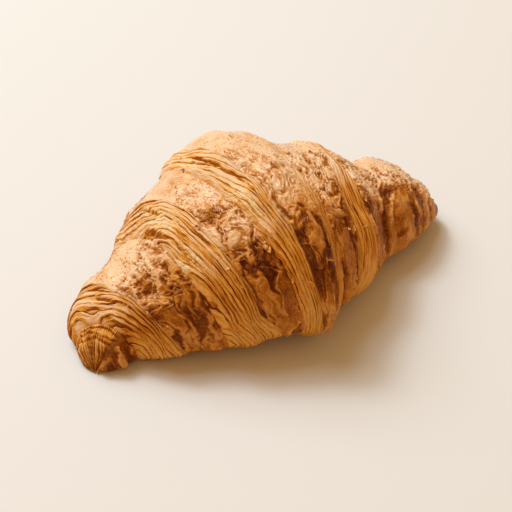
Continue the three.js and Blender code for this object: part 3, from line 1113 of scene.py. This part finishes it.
def crust_tone(nodes, grain):
    """How light the egg-washed crust is, from 0 in burnt hollows to 1 on thin film."""
    worm, sheet, rim, bead, pit, brown, crag, plate, front, speck, lump, hollow = attributes(
        nodes, "worm sheet rim bead pit brown crag plate front speck lump hollow")
    # Plain skin, crags and film plates. Skin and crags are darker low on the front.
    plain = nodes.times_plus(front, -0.42, 0.83)
    crags = nodes.times_plus(worm, 0.70, nodes.times_plus(bead, 0.16, 0.27))
    crags = nodes.times_plus(front, -0.24, crags)
    sheets = nodes.times_plus(sheet, 0.25, 0.08)
    sheets = nodes.plus(sheets, nodes.around(strand_value(nodes), 0.5, 0.5))
    tone = nodes.mix(crag, plain, crags)
    tone = nodes.mix(nodes.times(plate, 0.92), tone, sheets)
    # The thin line along raised film edges is lightened: paler torn film, and a painted highlight on the
    # edge
    tone = nodes.times_plus(rim, 0.42, tone)
    # Raised film is light on top, and hollows are burnt
    top = nodes.times_plus(front, -0.14, nodes.times_plus(worm, 0.32, 0.66))
    tone = nodes.mix(nodes.math("MINIMUM", lump, 1.0), tone, top)
    dark = nodes.times_plus(bead, 0.25, 0.06)
    tone = nodes.mix(nodes.times(hollow, 0.9), tone, dark)
    # Mottling, browning, pores and dark dots
    tone = nodes.plus(tone, nodes.around(grain["Mottle"], 0.5, nodes.times_plus(speck, 0.8, 0.55)))
    tone = nodes.plus(tone, nodes.around(brown, 0.5, -0.5))
    tone = nodes.plus(tone, nodes.around(grain["Speck"], 0.4, 0.12))
    dots = nodes.times_plus(dark_specks(nodes), -0.55, 0.16)
    specks = nodes.times_plus(pit, -0.20, dots)
    return nodes.times_plus(speck, specks, tone)


def crust_colour(nodes, grain):
    """Colour of the egg-washed crust: light on top, partly as painted sheen, and golden low on the front.
    """
    tone = crust_tone(nodes, grain)
    # The top ramp rises to light and cream: a paler bake on top, and partly painted sheen
    top = ramp(nodes, tone, burnt=0.0, caramel=0.17, chestnut=0.38, golden=0.58, light=0.78, cream=0.98)
    low = ramp(nodes, tone, burnt=0.0, caramel=0.19, chestnut=0.40, golden=0.62, honey=0.84)
    return nodes.blend(attribute(nodes, "front"), top, low)


def strand_value(nodes):
    """Fine streaks that run along the layers, from 0 to 1."""
    place = along_layers(nodes, attribute(nodes, "layer"), roll_place(nodes))
    return noise_value(nodes, place, 1.0, 3.0, 0.66)


def layer_colour(nodes, grain):
    """Colour of the open layers: thin grooves darkened as painted shade, golden strands, pale crumb."""
    tone, pale, brown, front, crumb = attributes(nodes, "tone pale brown front crumb")
    lip = tone
    for value, middle, factor in ((grain["Speck"], 0.4, 0.16), (strand_value(nodes), 0.52, 2.7),
                                  (grain["Mottle"], 0.5, 0.5), (brown, 0.45, -0.45), (front, 1.0, -0.09)):
        lip = nodes.plus(lip, nodes.around(value, middle, factor))
    top = ramp(nodes, lip, russet=0.0, chestnut=0.15, amber=0.33, straw=0.60, cream=0.84)
    low = ramp(nodes, lip, caramel=0.0, russet=0.16, umber=0.34, amber=0.64, straw=0.98)
    soft = ramp(nodes, nodes.plus(lip, crumb), chestnut=0.0, amber=0.2, straw=0.42, crumb=0.68)
    lit = nodes.blend(front, top, low)
    back = nodes.times(pale, nodes.times_plus(front, -0.9, 1.0))
    return nodes.blend(back, lit, soft)


def crust_coat(nodes):
    """Share of egg wash: less low on the front and more on blistered skin."""
    front, speck, crag = attributes(nodes, "front speck crag")
    washed = nodes.times_plus(front, -0.40, 0.40)
    return nodes.times_plus(nodes.larger(speck, crag), 0.12, washed)


def crust_material():
    """The one material of the turns, which their attributes divide into crust and open layers."""
    material = bpy.data.materials.get("Baked crust")
    if material:
        return material
    material, nodes, shader = new_material("Baked crust", CRUST_FINISH)
    crust_grain, layer_grain = use_grain(nodes, CRUST_GRAIN), use_grain(nodes, LAYER_GRAIN)
    band, under, lump = attributes(nodes, "band under lump")
    tint = nodes.blend(band, crust_colour(nodes, crust_grain), layer_colour(nodes, layer_grain))
    tint = nodes.blend(nodes.times(under, 0.75), tint, colour("chestnut"))
    gloss = nodes.span(nodes.times_plus(lump, 0.6, crust_grain["Mottle"]), 0.3, 1.2, *CRUST_ROUGHNESS)
    smooth = nodes.times(crust_grain["Height"], 0.45)
    drawn = nodes.times_plus(strand_value(nodes), 1.2, layer_grain["Height"])
    relief = nodes.add("ShaderNodeBump", out="Normal",
                       named={**CRUST_BUMP, "Height": nodes.mix(band, smooth, drawn)})
    links = material.node_tree.links
    links.new(tint, shader.inputs["Base Color"])
    links.new(nodes.mix(band, gloss, LAYER_ROUGHNESS), shader.inputs["Roughness"])
    links.new(nodes.mix(band, crust_coat(nodes), 0.0), shader.inputs["Coat Weight"])
    links.new(relief, shader.inputs["Normal"])
    return material


# Loose flakes

def curled_flake(nodes, size):
    """A thin closed sheet of the given length, curled along itself."""
    whole = nodes.vector("MULTIPLY", FLAKE_SHAPE, nodes.add("ShaderNodeCombineXYZ", size, size, size))
    sheet = nodes.add("GeometryNodeMeshCube", whole, 5, 4, 2)
    spot = nodes.tree.nodes.new("GeometryNodeInputPosition").outputs[0]
    parts = nodes.tree.nodes.new("ShaderNodeSeparateXYZ")
    nodes.tree.links.new(spot, parts.inputs[0])
    along = nodes.over(parts.outputs[0], size)
    lift = nodes.times(nodes.times(along, along), nodes.times(size, FLAKE_CURL))
    up = nodes.add("ShaderNodeCombineXYZ", 0.0, 0.0, lift)
    return nodes.add("GeometryNodeSetPosition", sheet, None, None, up)


def flake_points(nodes, given, geometry):
    """Places for the flakes, most of them on the crags and none on the underside, and their turns."""
    crag, band, under = read_attributes(nodes, "crag band under")
    share = nodes.larger(crag, nodes.times(band, FLAKES_ON_BANDS))
    share = nodes.times(share, nodes.minus(1.0, under))
    density = nodes.times(share, given["Density"])
    points = nodes.add("GeometryNodeDistributePointsOnFaces", geometry, None, density, given["Seed"],
                       distribute_method="RANDOM")
    upright = points.node.outputs["Rotation"]
    turn = nodes.add("FunctionNodeRandomValue", (-FLAKE_TILT, -FLAKE_TILT, 0.0),
                     (FLAKE_TILT, FLAKE_TILT, 2 * math.pi), data_type="FLOAT_VECTOR")
    turn = nodes.add("FunctionNodeEulerToRotation", turn)
    return points, nodes.add("FunctionNodeRotateRotation", upright, turn, rotation_space="LOCAL")


def flakes_tree(pieces):
    """Geometry nodes that strew curled flakes over the turns, each of its own shape and tone."""
    tree = bpy.data.node_groups.new("Loose flakes", "GeometryNodeTree")
    given = tree_inputs(tree, ["Flake Length"], [("Density", "Float"), ("Seed", "Int")])
    nodes = NodeTree(tree)
    joined = tree.nodes.new("GeometryNodeJoinGeometry")
    tree.links.new(given["Geometry"], joined.inputs[0])
    for piece in pieces:
        tree.links.new(nodes.add("GeometryNodeObjectInfo", piece, out="Geometry"), joined.inputs[0])
    points, turned = flake_points(nodes, given, joined.outputs[0])
    size = nodes.add("FunctionNodeRandomValue", *FLAKE_SIZES, data_type="FLOAT_VECTOR")
    flake = curled_flake(nodes, given["Flake Length"])
    strewn = nodes.add("GeometryNodeInstanceOnPoints", points, None, flake, None, None, turned, size)
    tone = nodes.add("FunctionNodeRandomValue", *FLAKE_TONES, data_type="FLOAT")
    toned = nodes.add("GeometryNodeStoreNamedAttribute", strewn, None, "tone", tone,
                      data_type="FLOAT", domain="INSTANCE")
    real = nodes.add("GeometryNodeRealizeInstances", toned)
    spot = tree.nodes.new("GeometryNodeInputPosition").outputs[0]
    wave = nodes.add("ShaderNodeTexNoise", out="Color", named={
        "Vector": spot, "Scale": TEAR_SCALE, "Detail": 1.0})
    torn = scaled(nodes, nodes.vector("SUBTRACT", wave, (0.5, 0.5, 0.5)), FLAKE_TEAR)
    moved = nodes.add("GeometryNodeSetPosition", real, None, None, torn)
    done = nodes.add("GeometryNodeSetMaterial", moved, None, given["Material"])
    tree.links.new(done, tree.nodes.new("NodeGroupOutput").inputs[0])
    return tree


def flake_material():
    material, nodes, shader = new_material("Dry flake", FLAKE_FINISH)
    grain = use_grain(nodes, FLAKE_GRAIN)
    tone = nodes.plus(attribute(nodes, "tone"), nodes.around(grain["Mottle"], 0.5, 0.4))
    shade = ramp(nodes, tone, chestnut=0.1, golden=0.35, straw=0.6, cream=0.95)
    material.node_tree.links.new(shade, shader.inputs["Base Color"])
    return material


# Pieces of the roll

def fan_noise(degrees, cell, lane):
    return ring_noise(degrees, FAN_RADIUS, cell, lane)


def fan_ridges(arc, degrees, inside):
    """Height and lightness of the ridges that spread from the tip, with painted shade in the valleys
    between them, and where along them each is.
    """
    turned = (degrees + FAN_TWIST * arc) / FAN_SPACING
    phase = turned + 1.5 * fan_noise(degrees, 4.0, 70)
    phase = phase + 0.45 * layer_noise(FAN_LENGTH * arc, degrees, FAN_RADIUS, 2.5, 2.2, 73)
    ridge = 1 - np.abs(2 * np.mod(phase, 1.0) - 1) ** 1.4
    uneven = np.clip(0.8 + 0.7 * fan_noise(degrees, 2.4, 75), 0.25, 1.4)
    rim = FAN_RIM + 0.16 * fan_noise(degrees, 2.0, 76)
    fan = smoothstep(0.04, 0.2, arc) * smoothstep(rim + 0.06, rim - 0.06, arc) * inside
    out = FAN_HEIGHT * fan * (uneven * (ridge - 0.5) + 0.4 * smoothstep(0.3, rim, arc))
    streaks = layer_noise(FAN_LENGTH * arc, degrees, FAN_RADIUS, 3.0, 0.9, 60)
    # Painted shade: valleys between the ridges are darker and the ridge tops lighter, following their
    # height
    light = between(0.22, 0.74, ridge * uneven) * smoothstep(-0.1, 0.3, arc)
    light = light + 0.2 * smoothstep(0.4, rim, arc) + 0.15 * streaks
    return out, between(0.5, light, smoothstep(0.0, 0.5, fan)), phase


def fan_shape(grids, degrees):
    """The rolled end: burnt ridges spread like a fan from its tip, and ragged lips round them, with
    painted shade in the valleys and in the dip at each lip's foot.
    """
    share = (grids["u"] - BLUNT_TIP) / (TURN_A - BLUNT_TIP)
    arc = np.arccos(np.clip(1 - share, -1, 1)) / (np.pi / 2)
    inside = smoothstep(*FAN_SIDES[0], degrees) * smoothstep(*FAN_SIDES[1], degrees)
    out, tone, phase = fan_ridges(arc, degrees, inside)
    for k, (place, rise) in enumerate(FAN_LIPS):
        edge = place + 0.07 * fan_noise(degrees, 5.0, 80 + k)
        edge = edge + 0.04 * fan_noise(degrees, 1.8, 90 + k)
        foot = smoothstep(edge - 0.06, edge - 0.01, arc) * smoothstep(edge + 0.02, edge - 0.01, arc)
        lip = smoothstep(edge, edge + 0.025, arc) * smoothstep(edge + 0.25, edge + 0.03, arc)
        out = out + inside * rise * (lip - 0.8 * foot)
        paler = 0.55 + 0.4 * fan_noise(degrees, 3.5, 100 + k)
        tone = between(tone, between(0.4, 0.9, lip * paler), inside * smoothstep(edge, edge + 0.03, arc))
        # Painted shade in the dip at the foot of each lip
        tone = tone * (1 - 0.7 * foot * inside)
    grids["out"] = grids["out"] + out
    grids["layer"] = between(grids["layer"], 1.3 * phase, inside)
    grids["tone"] = between(0.45, tone, inside)
    grids["band"] = np.maximum(grids["band"], inside)
    grids["brown"] = between(FAN_BROWN, 1.0, inside)
    grids["pale"] = inside * 0.25 * smoothstep(0.45, 0.62, arc) * smoothstep(0.8, 0.64, arc)


def build_blunt_end(rows, sizes):
    for k in range(BLUNT_ROWS):
        share = (k + 0.5) / BLUNT_ROWS
        rows.add(between(BLUNT_TIP, TURN_A, 1 - math.cos(math.pi / 2 * share)), brown=0.3)
    add_tuck(rows, TURN_A)
    return build_turn("blunt_end", rows, "blunt", cap_first=False, shape=fan_shape)


def build_turn_a(rows, sizes):
    add_band(rows, "a", sizes)
    add_skin(rows, "a", band_end("a", rows.degrees), TURN_B)
    add_tuck(rows, TURN_B)
    return build_turn("turn_a", rows, "a")


def build_turn_b(rows, sizes):
    add_band(rows, "b", sizes)
    add_skin(rows, "b", band_end("b", rows.degrees), TURN_C)
    add_tuck(rows, TURN_C)
    return build_turn("turn_b", rows, "b")


def build_turn_c(rows, sizes):
    add_band(rows, "c", sizes)
    add_skin(rows, "c", band_end("c", rows.degrees), band_end("c_right", rows.degrees))
    add_band(rows, "c_right", sizes)
    return build_turn("turn_c", rows, "c")


def build_turn_d(rows, sizes):
    add_lead(rows, TURN_D)
    add_skin(rows, "d", TURN_D, band_end("d", rows.degrees))
    add_band(rows, "d", sizes)
    return build_turn("turn_d", rows, "d")


def build_pointed_end(rows, sizes):
    add_lead(rows, TURN_E)
    add_skin(rows, "e", TURN_E, TIP_FOLD)
    for k in range(1, TIP_ROWS):
        share = 1 - (1 - k / TIP_ROWS) ** TIP_POWER
        rows.add(between(TIP_FOLD, POINTED_TIP, share), brown=TIP_BROWN * smoothstep(0.6, 0.95, share))
    return build_turn("pointed_end", rows, "e", cap_last=False)


def make_turn(key, build):
    """Builds a piece of the roll and hands it to the frame with its relief and material."""
    turn = TURNS[key]
    sizes = bpy.context.scene.croissant_sizes
    piece = build(Rows(ring_angles(turn["ring"])), sizes)
    values = {label: getattr(sizes, name) for label, name in RELIEF_INPUTS}
    values["Crag Size"] *= turn["crags"]
    values["Seed"] = turn["seed"]
    values["Material"] = crust_material()
    apply_tree(piece, get_tree("Crust relief", relief_tree), values)
    ride_on_root(piece)


# Settings

def length(name, description, default):
    return bpy.props.FloatProperty(name=name, description=description, default=default,
                                   unit="LENGTH", subtype="DISTANCE", precision=5)


def angle(name, description, degrees):
    return bpy.props.FloatProperty(name=name, description=description, default=math.radians(degrees),
                                   unit="ROTATION", subtype="ANGLE")


def tint(name, description, default):
    return bpy.props.FloatVectorProperty(name=name, description=description, default=default,
                                         subtype="COLOR", size=3, min=0.0, max=1.0)


class CroissantSizes(bpy.types.PropertyGroup):
    """Sizes of the crust's fine relief."""

    lip_height: length("Lip height", "Height of a layer's lip", 0.00030)
    lip_overhang: length("Lip overhang", "How far a lip reaches over its groove", 0.00028)
    groove_depth: length("Groove depth", "Depth of the groove at a layer's foot", 0.00024)
    gap_depth: length("Gap depth", "Extra depth of the deepest gaps", 0.0006)
    crag_size: length("Crag size", "Distance between wrinkles of torn film", 0.0046)
    crag_height: length("Crag height", "Height of the crags", 0.0016)
    plate_size: length("Plate size", "Width of the film plates", 0.0052)
    plate_height: length("Plate height", "Height of the film plates", 0.0008)
    grain_height: length("Grain height", "Height of the fine grain", 0.00025)
    strand_height: length("Strand height", "Height of the strands on the open layers", 0.0004)
    flake_length: length("Flake length", "Usual length of a loose flake", 0.0019)
    flake_density: bpy.props.FloatProperty(name="Flake density", default=10000.0, min=0.0,
                                           description="Loose flakes on a square metre of rough crust")


class CroissantColours(bpy.types.PropertyGroup):
    """Colours of the baked dough."""

    crumb: tint("Crumb", "Open, pale layers", (0.90, 0.71, 0.43))
    # Cream, and light below, are partly painted sheen on the lit tops of film and lips
    cream: tint("Cream", "Thin film and lips in full light", (0.87, 0.61, 0.38))
    straw: tint("Straw", "Pale strands of the open layers", (0.81, 0.40, 0.088))
    amber: tint("Amber", "Golden strands of the open layers", (0.68, 0.265, 0.024))
    umber: tint("Umber", "Darker strands of the open layers", (0.49, 0.150, 0.008))
    light: tint("Light", "Lightly baked crust", (0.77, 0.435, 0.205))
    honey: tint("Honey", "Pale film on the front", (0.70, 0.34, 0.090))
    golden: tint("Golden", "Plain crust", (0.57, 0.215, 0.030))
    chestnut: tint("Chestnut", "Browned crust", (0.38, 0.115, 0.010))
    # Russet, and caramel low on the front, also colour the painted shade of the layer grooves
    russet: tint("Russet", "Grooves between the open layers", (0.26, 0.055, 0.004))
    caramel: tint("Caramel", "Hollows of the crust", (0.17, 0.036, 0.003))
    burnt: tint("Burnt", "Deepest grooves", (0.075, 0.014, 0.001))
    floor: tint("Floor", "Pale surface", (0.765, 0.79, 0.81))


class StageSettings(bpy.types.PropertyGroup):
    """Light and camera."""

    key_power: bpy.props.FloatProperty(name="Key", description="Power of the large soft light",
                                       default=31.6, min=0.0, unit="POWER")
    glint: bpy.props.FloatProperty(name="Glint", description="Share of the light from its bright middle",
                                   default=0.3, min=0.0, max=1.0)
    fill: bpy.props.FloatProperty(name="Fill", description="Strength of the light from all round",
                                  default=0.53, min=0.0)
    key_azimuth: angle("Key azimuth", "Side the light comes from, counted from +X", 106)
    key_elevation: angle("Key elevation", "Height of the light above the floor", 57)


# Operators

class CROISSANT_OT_blunt_end(bpy.types.Operator):
    """Builds the blunt end of the roll with its fan of layers"""

    bl_idname = "croissant.blunt_end"
    bl_label = "Blunt end"

    def execute(self, context):
        make_turn("blunt", build_blunt_end)
        return {"FINISHED"}


class CROISSANT_OT_turns(bpy.types.Operator):
    """Builds the four turns between the ends"""

    bl_idname = "croissant.turns"
    bl_label = "Turns"

    def execute(self, context):
        for key, build in TURN_BUILDERS.items():
            make_turn(key, build)
        return {"FINISHED"}


class CROISSANT_OT_pointed_end(bpy.types.Operator):
    """Builds the pointed end of the roll"""

    bl_idname = "croissant.pointed_end"
    bl_label = "Pointed end"

    def execute(self, context):
        make_turn("e", build_pointed_end)
        return {"FINISHED"}


class CROISSANT_OT_flakes(bpy.types.Operator):
    """Strews loose flakes over the turns, which are built first"""

    bl_idname = "croissant.flakes"
    bl_label = "Loose flakes"

    def execute(self, context):
        pieces = [thing for thing in context.scene.objects if thing.name in TURN_NAMES]
        if not pieces:
            raise RuntimeError("build the turns before their flakes")
        sizes = context.scene.croissant_sizes
        flakes = bpy.data.objects.new("loose_flakes", bpy.data.meshes.new("loose_flakes"))
        context.scene.collection.objects.link(flakes)
        apply_tree(flakes, flakes_tree(pieces), {
            "Density": sizes.flake_density, "Flake Length": sizes.flake_length, "Seed": FLAKE_SEED,
            "Material": flake_material()})
        ride_on_root(flakes)
        return {"FINISHED"}


class CROISSANT_OT_stage(bpy.types.Operator):
    """Adds the floor, the lights and the camera"""

    bl_idname = "croissant.stage"
    bl_label = "Stage"

    def execute(self, context):
        make_floor()
        make_lights(context.scene.croissant_stage)
        make_camera()
        return {"FINISHED"}


# Stage

def make_floor():
    corners = [(x * FLOOR_HALF, y * FLOOR_HALF, 0) for x, y in ((-1, -1), (1, -1), (1, 1), (-1, 1))]
    mesh = bpy.data.meshes.new("floor")
    mesh.from_pydata(corners, [], [(0, 1, 2, 3)])
    floor = bpy.data.objects.new("floor", mesh)
    bpy.context.scene.collection.objects.link(floor)
    material, _, _ = new_material("Pale floor", {"Base Color": colour("floor"), **FLOOR_FINISH})
    mesh.materials.append(material)


def aim(thing, place, target):
    """Puts a light or camera in a place and points it at another."""
    thing.location = place
    thing.rotation_euler = (Vector(target) - Vector(place)).to_track_quat("-Z", "Y").to_euler()


def make_lights(stage):
    """A large soft light with a brighter middle, and warm light from all round."""
    world = bpy.context.scene.world or bpy.data.worlds.new("Room light")
    bpy.context.scene.world = world
    world.use_nodes = True
    back = world.node_tree.nodes["Background"]
    back.inputs["Color"].default_value = ROOM_COLOUR
    back.inputs["Strength"].default_value = stage.fill
    flat = math.cos(stage.key_elevation)
    place = Vector((flat * math.cos(stage.key_azimuth), flat * math.sin(stage.key_azimuth),
                    math.sin(stage.key_elevation))) * KEY_DISTANCE
    for name, size, share in (("key", KEY_SIZE, 1 - stage.glint), ("glint", GLINT_SIZE, stage.glint)):
        light = bpy.data.lights.new(name, "AREA")
        light.shape = "DISK"
        light.size = size
        light.energy = stage.key_power * share
        light.color = KEY_COLOUR
        lamp = bpy.data.objects.new(name, light)
        bpy.context.scene.collection.objects.link(lamp)
        aim(lamp, place, KEY_TARGET)


def make_camera():
    """Camera of the fit, turned so that its axis meets the middle of the picture."""
    azimuth, elevation = math.radians(VIEW_AZIMUTH), math.radians(VIEW_ELEVATION)
    ahead = Vector((math.sin(azimuth), math.cos(azimuth), 0)) * math.cos(elevation)
    ahead -= Vector((0, 0, math.sin(elevation)))
    right = Vector((math.cos(azimuth), -math.sin(azimuth), 0))
    up = right.cross(ahead)
    place = (Vector((0, 0, VIEW_HEIGHT)) - ahead * VIEW_DISTANCE - Vector(CENTRE)) * MM
    middle = IMAGE_PIXELS / 2
    aimed = ahead + right * (middle - AXIS_PIXEL[0]) / FOCAL_PIXELS
    aimed -= up * (middle - AXIS_PIXEL[1]) / FOCAL_PIXELS
    data = bpy.data.cameras.new("camera")
    data.sensor_width = SENSOR_MM
    data.lens = FOCAL_PIXELS / IMAGE_PIXELS * SENSOR_MM
    data.clip_start = 0.01
    camera = bpy.data.objects.new("camera", data)
    bpy.context.scene.collection.objects.link(camera)
    aim(camera, place, place + aimed * VIEW_DISTANCE * MM)
    bpy.context.scene.camera = camera


# Panel and registration

class CROISSANT_PT_panel(bpy.types.Panel):
    bl_label = "Croissant"
    bl_idname = "CROISSANT_PT_panel"
    bl_space_type = "VIEW_3D"
    bl_region_type = "UI"
    bl_category = "Croissant"

    def draw(self, context):
        for name in PIECE_OPERATORS:
            self.layout.operator("croissant." + name)
        for group in (context.scene.croissant_sizes, context.scene.croissant_colours,
                      context.scene.croissant_stage):
            column = self.layout.column(align=True)
            for key in group.__annotations__:
                column.prop(group, key)


TURN_BUILDERS = {"a": build_turn_a, "b": build_turn_b, "c": build_turn_c, "d": build_turn_d}
PIECE_OPERATORS = ("blunt_end", "turns", "pointed_end", "flakes", "stage")
TURN_NAMES = ("turn_a", "turn_b", "turn_c", "turn_d", "pointed_end")
CLASSES = (
    CroissantSizes, CroissantColours, StageSettings, CROISSANT_OT_blunt_end, CROISSANT_OT_turns,
    CROISSANT_OT_pointed_end, CROISSANT_OT_flakes, CROISSANT_OT_stage, CROISSANT_PT_panel,
)
GROUPS = (
    ("croissant_sizes", CroissantSizes),
    ("croissant_colours", CroissantColours),
    ("croissant_stage", StageSettings),
)


def register():
    for cls in CLASSES:
        bpy.utils.register_class(cls)
    for name, cls in GROUPS:
        setattr(bpy.types.Scene, name, bpy.props.PointerProperty(type=cls))


def unregister():
    for name, _ in GROUPS:
        delattr(bpy.types.Scene, name)
    for cls in reversed(CLASSES):
        bpy.utils.unregister_class(cls)


def main():
    register()
    bpy.context.scene.view_settings.view_transform = "Standard"
    for name in PIECE_OPERATORS:
        getattr(bpy.ops.croissant, name)()


if __name__ == "__main__":
    main()
